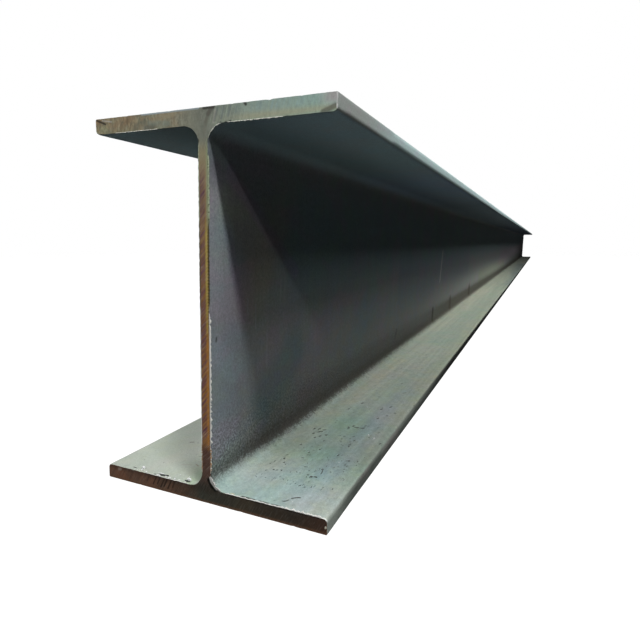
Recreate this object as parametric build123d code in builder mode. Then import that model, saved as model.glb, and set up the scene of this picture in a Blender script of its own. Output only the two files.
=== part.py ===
"""Hot-rolled steel H-beam, a wide-flange section sawn square at both ends.

Frame: +Z is up and the beam lies on its lower flange. Its length runs along Y, with the
sawn ends facing -Y and +Y, and the web stands on the plane X = 0. The origin is on the
underside, at the middle of the beam's width and length. All sizes are in millimetres.
"""

from build123d import *
import os

# The rolled section
section_depth = 294.0  # over the outer faces of both flanges
flange_width = 200.0
flange_thickness = 12.0
web_thickness = 8.0
root_radius = 13.0  # the fillet where the web runs into each flange
inner_toe_radius = 3.0  # flange tip, on the edge towards the web
outer_toe_radius = 1.0  # flange tip, on the outer edge, left almost square by the rolls

# The stock length, from saw cut to saw cut
length = 7000.0

# Distances from the centre of the section
half_depth = section_depth / 2
half_web = web_thickness / 2
flange_tip = flange_width / 2
flange_inner_face = half_depth - flange_thickness

os.makedirs("parts", exist_ok=True)

# The section's centre stands half its depth above the underside
section_plane = Plane.XZ.shift_origin((0, 0, half_depth))

with BuildPart() as h_beam:
    with BuildSketch(section_plane) as section:
        # The upper right quarter, followed from the middle of the web out to the flange tip
        with BuildLine() as quarter_outline:
            web_side = Line((half_web, 0), (half_web, flange_inner_face - root_radius))
            root = JernArc(web_side @ 1, web_side % 1, root_radius, -90)
            flange_inside = Line(root @ 1, (flange_tip - inner_toe_radius, flange_inner_face))
            inner_toe = JernArc(flange_inside @ 1, flange_inside % 1, inner_toe_radius, 90)
            tip_face = Line(inner_toe @ 1, (flange_tip, half_depth - outer_toe_radius))
            outer_toe = JernArc(tip_face @ 1, tip_face % 1, outer_toe_radius, 90)
            Polyline(outer_toe @ 1, (0, half_depth), (0, 0), (half_web, 0))
        make_face()
        # The section is alike on both sides of the web and on both flanges
        mirror(about=Plane.YZ)
        mirror(about=Plane.XZ)
    extrude(amount=length / 2, both=True)

h_beam.part.label = "h_beam"
export_step(h_beam.part, "parts/h_beam.step")
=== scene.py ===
"""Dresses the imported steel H-beam: its rolled skin, its sawn ends, and the burrs, chips and scale on them.

Everything is in metres in the beam's own frame: Z up from the underside of the lower flange, Y along the
beam, and the web on X = 0. The sawn end that faces -Y is the one that the camera sees.
"""

import math

import bpy
import numpy as np
from mathutils import Matrix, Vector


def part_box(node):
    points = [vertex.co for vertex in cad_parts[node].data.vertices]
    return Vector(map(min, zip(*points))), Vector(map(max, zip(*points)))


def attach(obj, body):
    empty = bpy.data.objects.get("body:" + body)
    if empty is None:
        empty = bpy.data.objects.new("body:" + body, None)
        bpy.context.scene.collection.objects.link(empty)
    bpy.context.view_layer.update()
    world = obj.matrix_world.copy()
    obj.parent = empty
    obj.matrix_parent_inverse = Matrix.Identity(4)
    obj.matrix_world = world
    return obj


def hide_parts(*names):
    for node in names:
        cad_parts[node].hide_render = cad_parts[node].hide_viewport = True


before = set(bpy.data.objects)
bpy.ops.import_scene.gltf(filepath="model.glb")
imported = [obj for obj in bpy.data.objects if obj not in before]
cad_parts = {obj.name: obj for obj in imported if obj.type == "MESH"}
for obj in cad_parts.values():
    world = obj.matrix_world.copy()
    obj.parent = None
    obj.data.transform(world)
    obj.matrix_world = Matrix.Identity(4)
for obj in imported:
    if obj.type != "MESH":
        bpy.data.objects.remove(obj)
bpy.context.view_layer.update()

MM = 0.001

# The rolled section
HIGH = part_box("h_beam")[1]
HALF_LENGTH = HIGH.y
DEPTH = HIGH.z
HALF_DEPTH = HIGH.z / 2
FLANGE_TIP = HIGH.x
FLANGE_THICKNESS = 12 * MM
HALF_WEB = 4 * MM
ROOT_RADIUS = 13 * MM
INNER_TOE_RADIUS = 3 * MM
OUTER_TOE_RADIUS = 1 * MM
FLANGE_INSIDE = HALF_DEPTH - FLANGE_THICKNESS
WEB_STRAIGHT = FLANGE_INSIDE - ROOT_RADIUS

# Heights between the two flanges, where a mask can change from one to the other unseen
BETWEEN_FLANGES = (100 * MM, 200 * MM)

# Heights over which the cut's colours change from the lower flange to the web, and on to the upper flange
LOWER_ROOT = (12 * MM, 24 * MM)
UPPER_ROOT = (262 * MM, 276 * MM)

# How many steps the outline takes along each stretch, all multiples of four
WEB_STEPS = 244
WEB_WIDTH_STEPS = 8
ROOT_STEPS = 20
FLANGE_STEPS = 80
TOE_STEPS = 4
THICKNESS_STEPS = 12

# The rolled skin's relief: depth and length of its waves and of its mottle, and the wear of the sawn corner
WAVE_DEPTH, WAVE_LENGTH = 0.16 * MM, 0.75
MOTTLE_DEPTH, MOTTLE_LENGTH = 0.035 * MM, 14 * MM
CORNER_WEAR = 0.22 * MM

# The saw's strokes lean to the right as they rise: between two heights, this far sideways for each unit up
STROKE_LEAN = ((0 * MM, 25 * MM, 0.58), (25 * MM, 265 * MM, 0.90), (265 * MM, 294 * MM, 0.27))
SAW_STEP = 1.3 * MM  # from one stroke to the next, straight across

NEAR, FAR = -1, 1  # the sawn end that the camera sees, and the other one


def line(start, end, steps):
    """Points at even steps from start to end, both included."""
    return np.linspace(start, end, steps + 1)


def arc(centre, radius, start, end, steps):
    """Points on a circle about centre, from one angle to the other in degrees."""
    turn = np.radians(np.linspace(start, end, steps + 1))
    return np.array(centre) + radius * np.stack([np.cos(turn), np.sin(turn)], axis=1)


def join(*stretches):
    """One row of points from stretches that each begin where the last one ends."""
    return np.concatenate([stretches[0]] + [points[1:] for points in stretches[1:]])


def mirrored(points):
    """The same points on the other side of the web, in the opposite order."""
    return points[::-1] * (-1, 1)


def smooth_step(value, low, high):
    """Rises from 0 at low to 1 at high along 3t^2 - 2t^3."""
    t = np.clip((value - low) / (high - low), 0, 1)
    return t * t * (3 - 2 * t)


def ripples(points, wavelength, seed, waves=16):
    """Smooth random relief, mostly between -1 and 1.

    It is the mean of plane waves in random directions, each near the wavelength, times 2.5.
    """
    rng = np.random.default_rng(seed)
    direction = rng.normal(size=(waves, points.shape[1]))
    direction /= np.linalg.norm(direction, axis=1, keepdims=True)
    pace = 2 * np.pi / (wavelength * rng.uniform(0.7, 1.4, (waves, 1)))
    phase = rng.uniform(0, 2 * np.pi, waves)
    return 2.5 * np.cos(points @ (direction * pace).T + phase).mean(axis=1)


def section_blocks():
    """The cut face as three grids that share their edges: lower flange, web and upper flange.

    A flange is ruled between two curves: the inside one, with its root fillets and inner toes, and the
    outside one, with its outer toes. The web is a plain rectangle between the roots. Returns the points,
    across and up from the floor, the three grids of point numbers and the outline's point numbers, which
    run anticlockwise from the bottom of the web's right face.
    """
    root_start = HALF_WEB + ROOT_RADIUS
    inner_toe = FLANGE_TIP - INNER_TOE_RADIUS
    outer_toe = FLANGE_TIP - OUTER_TOE_RADIUS
    inside_right = join(
        arc((root_start, WEB_STRAIGHT), ROOT_RADIUS, 180, 90, ROOT_STEPS),
        line((root_start, FLANGE_INSIDE), (inner_toe, FLANGE_INSIDE), FLANGE_STEPS),
        arc((inner_toe, FLANGE_INSIDE + INNER_TOE_RADIUS), INNER_TOE_RADIUS, -90, 0, TOE_STEPS),
    )
    outside_right = join(
        line((HALF_WEB, HALF_DEPTH), (outer_toe, HALF_DEPTH), ROOT_STEPS + FLANGE_STEPS),
        arc((outer_toe, HALF_DEPTH - OUTER_TOE_RADIUS), OUTER_TOE_RADIUS, 90, 0, TOE_STEPS),
    )
    web_top = line((-HALF_WEB, WEB_STRAIGHT), (HALF_WEB, WEB_STRAIGHT), WEB_WIDTH_STEPS)
    over_web = line((-HALF_WEB, HALF_DEPTH), (HALF_WEB, HALF_DEPTH), WEB_WIDTH_STEPS)
    inside = join(mirrored(inside_right), web_top, inside_right)
    outside = join(mirrored(outside_right), over_web, outside_right)
    share = np.linspace(0, 1, THICKNESS_STEPS + 1)[:, None, None]
    upper = inside * (1 - share) + outside * share
    lower = upper * (1, -1)
    web_rise = np.linspace(-WEB_STRAIGHT, WEB_STRAIGHT, WEB_STEPS + 1)[1:-1]
    web = np.stack(np.meshgrid(web_top[:, 0], web_rise), axis=2)

    columns = inside.shape[0]
    upper_ids = np.arange(upper.shape[0] * columns).reshape(-1, columns)
    lower_ids = upper_ids + upper_ids.size
    first = (columns - 1 - WEB_WIDTH_STEPS) // 2
    under_web = slice(first, first + WEB_WIDTH_STEPS + 1)
    inner_web = 2 * upper_ids.size + np.arange(web.shape[0] * web.shape[1]).reshape(web.shape[:2])
    web_ids = np.vstack([lower_ids[0, under_web], inner_web, upper_ids[0, under_web]])
    points = np.concatenate([grid.reshape(-1, 2) for grid in (upper, lower, web)]) + (0, HALF_DEPTH)

    right, left = first + WEB_WIDTH_STEPS, first
    outline = np.concatenate([
        web_ids[:-1, -1],
        upper_ids[0, right:-1],
        upper_ids[:-1, -1],
        upper_ids[-1, :0:-1],
        upper_ids[:0:-1, 0],
        upper_ids[0, :left],
        web_ids[:0:-1, 0],
        lower_ids[0, left:0:-1],
        lower_ids[:-1, 0],
        lower_ids[-1, :-1],
        lower_ids[:0:-1, -1],
        lower_ids[0, :right:-1],
    ])
    return points, (lower_ids, web_ids, upper_ids), outline


def outline_normals(points):
    """Outward directions along a closed outline: each chord between neighbours, turned a quarter."""
    along = np.roll(points, -1, axis=0) - np.roll(points, 1, axis=0)
    across = np.stack([along[:, 1], -along[:, 0]], axis=1)
    return across / np.linalg.norm(across, axis=1, keepdims=True)


SECTION, BLOCKS, OUTLINE = section_blocks()
LOOP = SECTION[OUTLINE]
OUTWARD = outline_normals(LOOP)


def ring_places():
    """Where the rings of the skin stand, and how many outline points each one skips.

    Both ends have rings close together on every point, then on every second one. Between them the
    rings stand on every fourth point and move apart by a constant ratio towards the middle.
    """
    close = np.array([0, 0.35, 0.9, 1.7, 2.8, 4.4, 6.6, 9.5, 13]) * MM
    middling = close[-1] + np.geomspace(4.5, 118, 15) * MM
    step, step_ratio, widest = 9 * MM, 1.14, 120 * MM
    reach, sparse = middling[-1], []
    while reach + step < HALF_LENGTH:
        reach += step
        sparse.append(reach)
        step = min(step * step_ratio, widest)
    offsets = np.concatenate([close, middling, sparse])
    strides = np.repeat([1, 2, 4], [close.size, middling.size, len(sparse)])
    places = np.concatenate([offsets - HALF_LENGTH, (HALF_LENGTH - offsets)[::-1]])
    return places, np.concatenate([strides, strides[::-1]])


def saw_relief(points):
    """How far the saw's grooves sink below the cut face, at points of the section.

    A groove is a cosine of the distance across, less the stroke's lean at that height, over two steps. It
    is deeper where the saw chattered, and slow waves lie under it. The depths are in millimetres.
    """
    lean = sum(slope * np.clip(points[:, 1] - low, 0, high - low) for low, high, slope in STROKE_LEAN)
    groove = 0.5 + 0.5 * np.cos(np.pi * (points[:, 0] - lean) / SAW_STEP)
    chatter = 0.09 + 0.05 * ripples(points, 30 * MM, seed=5)
    slow_wave = 0.12 + 0.05 * ripples(points, 60 * MM, seed=7)
    return np.maximum(chatter * groove + slow_wave, 0.02) * MM


def arris_nicks(seed, count=60):
    """How far small knocks have pushed the sawn corner in: a sum of bell curves along the outline."""
    rng = np.random.default_rng(seed)
    around = np.concatenate([[0], np.cumsum(np.linalg.norm(np.diff(LOOP, axis=0), axis=1))])
    place = rng.uniform(0, around[-1], count)
    width = rng.uniform(0.6, 2.4, count) * MM
    depth = rng.uniform(0.1, 0.4, count) * MM
    return (depth * np.exp(-((around[:, None] - place) / width) ** 2)).sum(axis=1)


def skin_relief(place):
    """How far the rolled face lies inside its true outline, all round one ring.

    Long rolling waves run along the beam, 2.2 times as long as they are wide, and fade out at the ends.
    The last half millimetre falls away to the worn saw edge. The underside is five times flatter.
    """
    spot = np.column_stack([LOOP * 2.2, np.full(len(LOOP), place)])
    waves = WAVE_DEPTH * (1 + 0.8 * ripples(spot, WAVE_LENGTH, seed=21))
    mottle = MOTTLE_DEPTH * (1 + ripples(spot, MOTTLE_LENGTH, seed=22))
    depth = HALF_LENGTH - abs(place)
    settle = smooth_step(depth, 0, 60 * MM)
    worn = CORNER_WEAR * np.exp(-depth / (0.35 * MM))
    knocked = arris_nicks(seed=31 if place < 0 else 32) * math.exp(-depth / (1.3 * MM))
    resting = (OUTWARD[:, 1] < -0.9) & (LOOP[:, 1] < MM)
    return np.maximum(np.where(resting, 0.2, 1.0) * (waves * settle + mottle), 0) + worn + knocked


def bridge(near, far):
    """Faces between two rings of point numbers, which have as many points or half as many as each other."""
    if len(near) == len(far):
        return np.stack([near, np.roll(near, -1), np.roll(far, -1), far], axis=1), np.empty((0, 3), int)
    fine, rough = (near, far) if len(near) > len(far) else (far, near)
    a, b, c = fine[::2], fine[1::2], np.roll(fine, -2)[::2]
    p, q = rough, np.roll(rough, -1)
    fans = np.concatenate([np.stack(fan, axis=1) for fan in ((a, b, p), (b, c, q), (b, q, p))])
    return np.empty((0, 4), int), fans if fine is near else fans[:, ::-1]


def make_mesh(name, points, quads, triangles=None, smooth=True):
    """A mesh object from whole arrays of points, four-sided and three-sided faces."""
    triangles = np.empty((0, 3), int) if triangles is None else triangles
    loops = np.concatenate([quads.ravel(), triangles.ravel()]).astype(np.int32)
    sizes = np.repeat([4, 3], [len(quads), len(triangles)]).astype(np.int32)
    starts = np.concatenate([[0], np.cumsum(sizes)[:-1]]).astype(np.int32)
    mesh = bpy.data.meshes.new(name)
    mesh.vertices.add(len(points))
    mesh.vertices.foreach_set("co", np.ascontiguousarray(points, np.float32).ravel())
    mesh.loops.add(len(loops))
    mesh.loops.foreach_set("vertex_index", loops)
    mesh.polygons.add(len(sizes))
    mesh.polygons.foreach_set("loop_start", starts)
    mesh.polygons.foreach_set("use_smooth", np.full(len(sizes), smooth))
    mesh.update(calc_edges=True)
    mesh.validate()
    piece = bpy.data.objects.new(name, mesh)
    bpy.context.scene.collection.objects.link(piece)
    return piece


def rolled_skin():
    """The beam's whole surface as one closed mesh.

    The section's outline is carried along the beam in rings, each pushed in by the skin's relief, and
    the two cut faces close it, each pushed in by the saw's relief. The flanges with the roots have the
    first material, the cut faces the second and the web's flat sides the third. The attribute rim holds
    each cut face point's distance from the outline.
    """
    places, strides = ring_places()
    cap_size = len(SECTION)
    caps, cap_quads = [], []
    for side in (NEAR, FAR):
        flat = SECTION.copy()
        flat[OUTLINE] -= OUTWARD * skin_relief(side * HALF_LENGTH)[:, None]
        caps.append(np.column_stack([flat[:, 0], side * (HALF_LENGTH - saw_relief(SECTION)), flat[:, 1]]))
        base = 0 if side == NEAR else cap_size
        for ids in BLOCKS:
            corners = [ids[:-1, :-1], ids[:-1, 1:], ids[1:, 1:], ids[1:, :-1]]
            quads = np.stack([corner.ravel() for corner in corners], axis=1) + base
            faces_viewer = ids is not BLOCKS[0]
            cap_quads.append(quads if faces_viewer == (side == NEAR) else quads[:, ::-1])

    points, rings, count = list(caps), [OUTLINE], 2 * cap_size
    for place, stride in zip(places[1:-1], strides[1:-1]):
        ring = (LOOP - OUTWARD * skin_relief(place)[:, None])[::stride]
        points.append(np.column_stack([ring[:, 0], np.full(len(ring), place), ring[:, 1]]))
        rings.append(count + np.arange(len(ring)))
        count += len(ring)
    rings.append(OUTLINE + cap_size)

    bands = [bridge(near[::-1], far[::-1]) if len(near) == len(far) else bridge(near, far)
             for near, far in zip(rings, rings[1:])]
    side_quads = np.concatenate([band[0] for band in bands])
    side_fans = np.concatenate([band[1] for band in bands])[:, ::-1]
    quads = np.concatenate(cap_quads + [side_quads])
    piece = make_mesh("rolled_beam", np.concatenate(points), quads, side_fans)

    mesh = piece.data
    material_index = np.zeros(len(mesh.polygons), np.int32)
    material_index[:sum(len(quads) for quads in cap_quads)] = 1
    centres = np.empty(3 * len(mesh.polygons), np.float32)
    mesh.polygons.foreach_get("center", centres)
    from_middle = np.abs(centres[2::3] - HALF_DEPTH)
    material_index[(material_index == 0) & (from_middle < WEB_STRAIGHT)] = 2
    mesh.polygons.foreach_set("material_index", material_index)

    on_outline = np.zeros(len(mesh.vertices), bool)
    on_outline[np.concatenate([OUTLINE, OUTLINE + cap_size])] = True
    ends = np.empty(2 * len(mesh.edges), np.int32)
    mesh.edges.foreach_get("vertices", ends)
    sharp = on_outline[ends.reshape(-1, 2)].all(axis=1)
    mesh.attributes.new("sharp_edge", "BOOLEAN", "EDGE").data.foreach_set("value", sharp)

    gap = np.linalg.norm(SECTION[:, None, :] - LOOP[None, ::3, :], axis=2).min(axis=1)
    rim = np.zeros(len(mesh.vertices), np.float32)
    rim[:2 * cap_size] = np.tile(gap, 2)
    mesh.attributes.new("rim", "FLOAT", "POINT").data.foreach_set("value", rim)
    return piece


def strips(name, rings):
    """Closed strips as one mesh, from points shaped as (strip, ring along it, point around it, 3).

    Each ring is joined to the next, and the first and last are closed by quads across them. All faces
    are turned outwards together, by the sign of the volume they hold.
    """
    count, length, around = rings.shape[:3]
    ids = np.arange(count * length * around).reshape(count, length, around)
    turned = np.roll(ids, -1, axis=2)
    sides = np.stack([ids[:, :-1], turned[:, :-1], turned[:, 1:], ids[:, 1:]], axis=-1).reshape(-1, 4)
    low = np.arange(around // 2 - 1)
    across = np.stack([low, low + 1, around - 2 - low, around - 1 - low], axis=1)
    starts = ids[:, 0][:, across].reshape(-1, 4)[:, ::-1]
    ends = ids[:, -1][:, across].reshape(-1, 4)
    quads = np.concatenate([sides, starts, ends])
    points = rings.reshape(-1, 3)
    a, b, c, d = (points[quads[:, corner]] for corner in range(4))
    volume = (np.cross(b - a, c - a) * a).sum() + (np.cross(c - a, d - a) * a).sum()
    return make_mesh(name, points, quads if volume > 0 else quads[:, ::-1])


def rough(distance, wavelength, seed):
    """Random waves along a line, mostly between -1 and 1."""
    return ripples(distance[:, None], wavelength, seed)


def edge_stretch(start, end, spacing):
    """Even places along the cut's edge, anticlockwise from near one point to near another.

    Returns the points, their outward directions and their distances from the start.
    """
    first = np.linalg.norm(LOOP - start, axis=1).argmin()
    last = np.linalg.norm(LOOP - end, axis=1).argmin()
    ids = np.arange(first, last + (len(LOOP) if last < first else 0) + 1) % len(LOOP)
    reached = np.concatenate([[0], np.cumsum(np.linalg.norm(np.diff(LOOP[ids], axis=0), axis=1))])
    distance = np.arange(0, reached[-1], spacing)
    points, outward = (
        np.stack([np.interp(distance, reached, values[ids, axis]) for axis in (0, 1)], axis=1)
        for values in (LOOP, OUTWARD))
    return points, outward, distance


def lip(start, end, width, seed, side, curl=0.6, beads=None, cover=1.0, lumps=0.35):
    """A thin ragged lip that the saw pushed out over a stretch of the cut's edge, as one closed strip.

    Its section has six points, given in millimetres out from the edge and back along the beam, of which
    the first and last are buried. The reach is the width, with random waves, faded at both ends, times the
    root of |sine| where it is beaded, and it goes down to nothing over the share that the cover leaves out.
    """
    points, outward, distance = edge_stretch(np.array(start) * MM, np.array(end) * MM, 0.3 * MM)
    waves = rough(distance, 0.9 * MM, seed) + rough(distance, 4.5 * MM, seed + 1)
    reach = width * np.maximum(1 + lumps * waves, 0.15)
    if beads:
        reach *= np.sqrt(np.abs(np.sin(np.pi * distance / beads))) + 0.1
    edge = 1.2 - 2.4 * cover
    reach *= smooth_step(rough(distance, 6 * MM, seed + 2), edge - 0.25, edge + 0.25)
    reach *= smooth_step(np.minimum(distance, distance[-1] - distance), -0.5 * MM, 3 * MM)
    reach = np.maximum(reach, 0.02)[:, None]
    out = np.array([-0.35, 0, 0, 0, 0, -0.35]) + reach * np.array([0, 0.5, 1, 0.94, 0.45, 0])
    back = np.array([0.02, 0, 0, 0.1, 0.35, 0.45]) + reach * curl * np.array([0, 0.3, 1, 1.15, 0.3, 0])
    spread = points[:, None] + outward[:, None] * out[..., None] * MM
    rings = np.stack([spread[..., 0], side * (HALF_LENGTH - back * MM), spread[..., 1]], axis=-1)
    rings[..., 0] = np.clip(rings[..., 0], -FLANGE_TIP, FLANGE_TIP)
    rings[..., 2] = np.clip(rings[..., 2], 0, DEPTH)
    return strips("lip", rings[None])


def slivers(name, starts, ends, widths, heights, bends, lifts, seed):
    """Many curved slivers on the lower flange, each from its start to its end, as one mesh.

    Along t from -1 to 1 a sliver bows sideways by bend times 1 - t^2, its tips rise by lift times t^2,
    and it narrows to both as the root of 1 - t^2, roughened. Its section has six points.
    """
    rng = np.random.default_rng(seed)
    t = np.linspace(-0.97, 0.97, 7)
    taper = np.sqrt(1 - t * t) * rng.uniform(0.75, 1.2, (len(starts), len(t)))
    middle, run = (starts + ends) / 2, (ends - starts) / 2
    sideways = np.stack([-run[:, 1], run[:, 0]], axis=1) / np.linalg.norm(run, axis=1, keepdims=True)
    side_share = np.array([-1, -0.5, 0.45, 1, 0.5, -0.5]) / 2
    up_share = np.array([0.05, 0.9, 1.0, 0.1, -0.35, -0.35])
    bow = bends[:, None] * (1 - t * t)
    aside = bow[..., None] + (widths[:, None] * taper)[..., None] * side_share
    straight = middle[:, None, None] + run[:, None, None] * t[:, None, None]
    flat = straight + sideways[:, None, None] * aside[..., None]
    above = (lifts[:, None] * t * t)[..., None] + (heights[:, None] * taper)[..., None] * up_share
    return strips(name, np.concatenate([flat, (FLANGE_THICKNESS + above)[..., None]], axis=-1))


# Shader helpers

def feed(tree, socket, value):
    """Gives a socket a constant, or links another node's output to it."""
    if isinstance(value, bpy.types.NodeSocket):
        tree.links.new(value, socket)
    elif isinstance(value, tuple) and len(value) == 3 and socket.type == "RGBA":
        socket.default_value = (*value, 1)
    else:
        socket.default_value = value


def put(tree, kind, settings=None, **sockets):
    """Adds a node with its settings, and feeds the sockets named in the call."""
    node = tree.nodes.new("ShaderNode" + kind)
    for name, value in (settings or {}).items():
        setattr(node, name, value)
    for name, value in sockets.items():
        feed(tree, node.inputs[name.replace("_", " ")], value)
    return node


def calc(tree, operation, *values, clamp=False):
    """The output of a Math node."""
    node = tree.nodes.new("ShaderNodeMath")
    node.operation = operation
    node.use_clamp = clamp
    for socket, value in zip(node.inputs, values):
        feed(tree, socket, value)
    return node.outputs[0]


def blend(tree, share, first, second, mode="MIX"):
    """The colour of a Mix node."""
    node = tree.nodes.new("ShaderNodeMix")
    node.data_type = "RGBA"
    node.blend_type = mode
    feed(tree, node.inputs[0], share)
    feed(tree, node.inputs[6], first)
    feed(tree, node.inputs[7], second)
    return node.outputs[2]


def span(tree, value, low, high, start=0.0, end=1.0, kind="SMOOTHSTEP"):
    """Carries a value from the range low..high to start..end, and stops there."""
    node = put(tree, "MapRange", {"interpolation_type": kind}, Value=value)
    for name, number in (("From Min", low), ("From Max", high), ("To Min", start), ("To Max", end)):
        feed(tree, node.inputs[name], number)
    return node.outputs[0]


def ramp(tree, value, stops):
    """A colour read from a row of (place, colour) stops."""
    node = put(tree, "ValToRGB", Fac=value)
    points = node.color_ramp.elements
    while len(points) < len(stops):
        points.new(0.5)
    for point, (place, colour) in zip(points, stops):
        point.position = place
        point.color = (*colour, 1)
    return node.outputs[0]


def noise(tree, vector, scale, detail=3.0, roughness=0.55, distortion=0.0):
    """The value of a noise texture."""
    return put(tree, "TexNoise", Vector=vector, Scale=scale, Detail=detail, Roughness=roughness,
               Distortion=distortion).outputs["Fac"]


def stretched(tree, vector, scale, offset=(0.0, 0.0, 0.0)):
    """A vector with each axis scaled by itself."""
    return put(tree, "Mapping", Vector=vector, Scale=scale, Location=offset).outputs[0]


def bell(tree, value, centre, width):
    """A bell curve of a value: exp(-d^2), where d is its distance from the centre over the width."""
    offset = calc(tree, "DIVIDE", calc(tree, "SUBTRACT", value, centre), width)
    return calc(tree, "EXPONENT", times(tree, offset, offset, -1.0))


def times(tree, *values):
    """The product of several masks."""
    product = values[0]
    for value in values[1:]:
        product = calc(tree, "MULTIPLY", product, value)
    return product


def lit(tree, colour, strength):
    """A colour made brighter or darker by a value."""
    return put(tree, "VectorMath", {"operation": "SCALE"}, Vector=colour, Scale=strength).outputs[0]


def uneven(tree, value, swing, reach=0.2):
    """A factor that goes from 1 - swing to 1 + swing as a value goes from 0.5 - reach to 0.5 + reach."""
    return span(tree, value, 0.5 - reach, 0.5 + reach, 1 - swing, 1 + swing, "LINEAR")


def effect(name, inputs, outputs):
    """An empty shader group with named sockets: returns the tree, its input sockets and its end node."""
    tree = bpy.data.node_groups.new(name, "ShaderNodeTree")
    kinds = {"vector": "NodeSocketVector", "value": "NodeSocketFloat", "colour": "NodeSocketColor"}
    for label, kind in inputs:
        tree.interface.new_socket(name=label, in_out="INPUT", socket_type=kinds[kind])
    for label, kind in outputs:
        tree.interface.new_socket(name=label, in_out="OUTPUT", socket_type=kinds[kind])
    start = tree.nodes.new("NodeGroupInput")
    end = tree.nodes.new("NodeGroupOutput")
    return tree, start.outputs, end.inputs


def use(tree, group, **sockets):
    """Places an effect in a material and feeds its inputs: returns its outputs."""
    node = tree.nodes.new("ShaderNodeGroup")
    node.node_tree = group
    for name, value in sockets.items():
        feed(tree, node.inputs[name], value)
    return node.outputs


def grain_effect():
    """Fine surface grain: two noises, one five times finer, as a value about 0.5."""
    tree, given, result = effect("grain", [("Vector", "vector"), ("Scale", "value")], [("Value", "value")])
    broad = noise(tree, given["Vector"], given["Scale"], detail=4.0, roughness=0.6)
    fine = noise(tree, given["Vector"], times(tree, given["Scale"], 5.0), detail=2.0)
    both = calc(tree, "MULTIPLY_ADD", fine, 0.45, times(tree, broad, 0.55))
    tree.links.new(both, result["Value"])
    return tree


def patches_effect():
    """Cloudy masks for two oxide tints and one broad light and dark drift, all from 0 to 1."""
    tree, given, result = effect(
        "oxide_patches", [("Vector", "vector"), ("Scale", "value")],
        [("First", "value"), ("Second", "value"), ("Drift", "value")])
    masks = (("First", 0.0, 0.42, 0.62), ("Second", 7.3, 0.46, 0.64), ("Drift", 15.1, 0.3, 0.7))
    for label, shift, low, high in masks:
        moved = stretched(tree, given["Vector"], (1.0, 1.0, 1.0), (shift, shift, shift))
        cloud = noise(tree, moved, given["Scale"], detail=5.0, roughness=0.6, distortion=0.35)
        tree.links.new(span(tree, cloud, low, high), result[label])
    return tree


def flecks_effect():
    """Short dark flecks: the middles of Voronoi cells, kept in a share of the cells, with ragged rims."""
    tree, given, result = effect(
        "flecks", [("Vector", "vector"), ("Scale", "value"), ("Share", "value"), ("Size", "value")],
        [("Mask", "value")])
    shake = put(tree, "TexNoise", Vector=given["Vector"], Scale=times(tree, given["Scale"], 2.5))
    nudge = put(tree, "VectorMath", {"operation": "MULTIPLY_ADD"})
    feed(tree, nudge.inputs[0], shake.outputs["Color"])
    feed(tree, nudge.inputs[1], (0.004, 0.004, 0.004))
    feed(tree, nudge.inputs[2], given["Vector"])
    cells = put(tree, "TexVoronoi", Vector=nudge.outputs[0], Scale=given["Scale"])
    pick = put(tree, "SeparateColor", Color=cells.outputs["Color"])
    kept = calc(tree, "LESS_THAN", pick.outputs[0], given["Share"])
    size = times(tree, given["Size"], span(tree, pick.outputs[1], 0.0, 1.0, 0.4, 1.0))
    inside = span(tree, calc(tree, "SUBTRACT", cells.outputs["Distance"], size), -0.06, 0.04, 1.0, 0.0)
    tree.links.new(times(tree, inside, kept), result["Mask"])
    return tree


def stroke_effect():
    """One straight stroke: 1 on the line between two places, fading to 0 at the width from it.

    The nearest place on the line is found by the share t = (p - from).(to - from) / |to - from|^2.
    """
    tree, given, result = effect(
        "stroke", [("Vector", "vector"), ("From", "vector"), ("To", "vector"), ("Width", "value")],
        [("Mask", "value")])

    def vectors(operation, first, second):
        """The output of a Vector Math node with two inputs."""
        node = put(tree, "VectorMath", {"operation": operation})
        feed(tree, node.inputs[0], first)
        feed(tree, node.inputs[1], second)
        return node.outputs["Value" if operation == "DOT_PRODUCT" else "Vector"]

    away = vectors("SUBTRACT", given["Vector"], given["From"])
    run = vectors("SUBTRACT", given["To"], given["From"])
    reached, whole = vectors("DOT_PRODUCT", away, run), vectors("DOT_PRODUCT", run, run)
    share = calc(tree, "DIVIDE", reached, whole, clamp=True)
    offset = vectors("SUBTRACT", away, lit(tree, run, share))
    reach = put(tree, "VectorMath", {"operation": "LENGTH"}, Vector=offset).outputs["Value"]
    near = calc(tree, "DIVIDE", reach, given["Width"])
    tree.links.new(span(tree, near, 0.3, 1.0, 1.0, 0.0), result["Mask"])
    return tree


def saw_strokes_effect():
    """The saw's strokes: each groove's dark side as painted shade, streaks and fine scratches along it, and
    the height.

    A stroke's coordinate is the distance across less its lean at that height, over the step.
    """
    tree, given, result = effect(
        "saw_strokes", [("Vector", "vector"), ("Step", "value")],
        [("GrooveShade", "value"), ("Streak", "value"), ("Scratch", "value"), ("Height", "value")])
    spot = put(tree, "SeparateXYZ", Vector=given["Vector"])
    across, up = spot.outputs[0], spot.outputs[2]
    for low, high, slope in STROKE_LEAN:
        lean = span(tree, up, low, high, 0.0, slope * (high - low), kind="LINEAR")
        across = calc(tree, "SUBTRACT", across, lean)
    turns = calc(tree, "DIVIDE", across, given["Step"])
    drawn = put(tree, "CombineXYZ", X=turns, Y=times(tree, up, 45.0)).outputs[0]
    streak = noise(tree, drawn, 0.6, detail=4.0, roughness=0.7)
    fine = noise(tree, drawn, 2.6, detail=2.0, roughness=0.6)
    chatter = noise(tree, given["Vector"], 55.0, detail=2.0)
    wave = calc(tree, "COSINE", times(tree, turns, 2 * math.pi))
    # Painted shade on each groove's dark side
    groove = times(tree, span(tree, wave, 0.1, 0.95), span(tree, chatter, 0.42, 0.62))
    tree.links.new(groove, result["GrooveShade"])
    tree.links.new(span(tree, streak, 0.34, 0.66), result["Streak"])
    tree.links.new(span(tree, fine, 0.5, 0.7), result["Scratch"])
    tree.links.new(calc(tree, "MULTIPLY_ADD", wave, -0.35, fine), result["Height"])
    return tree


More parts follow.
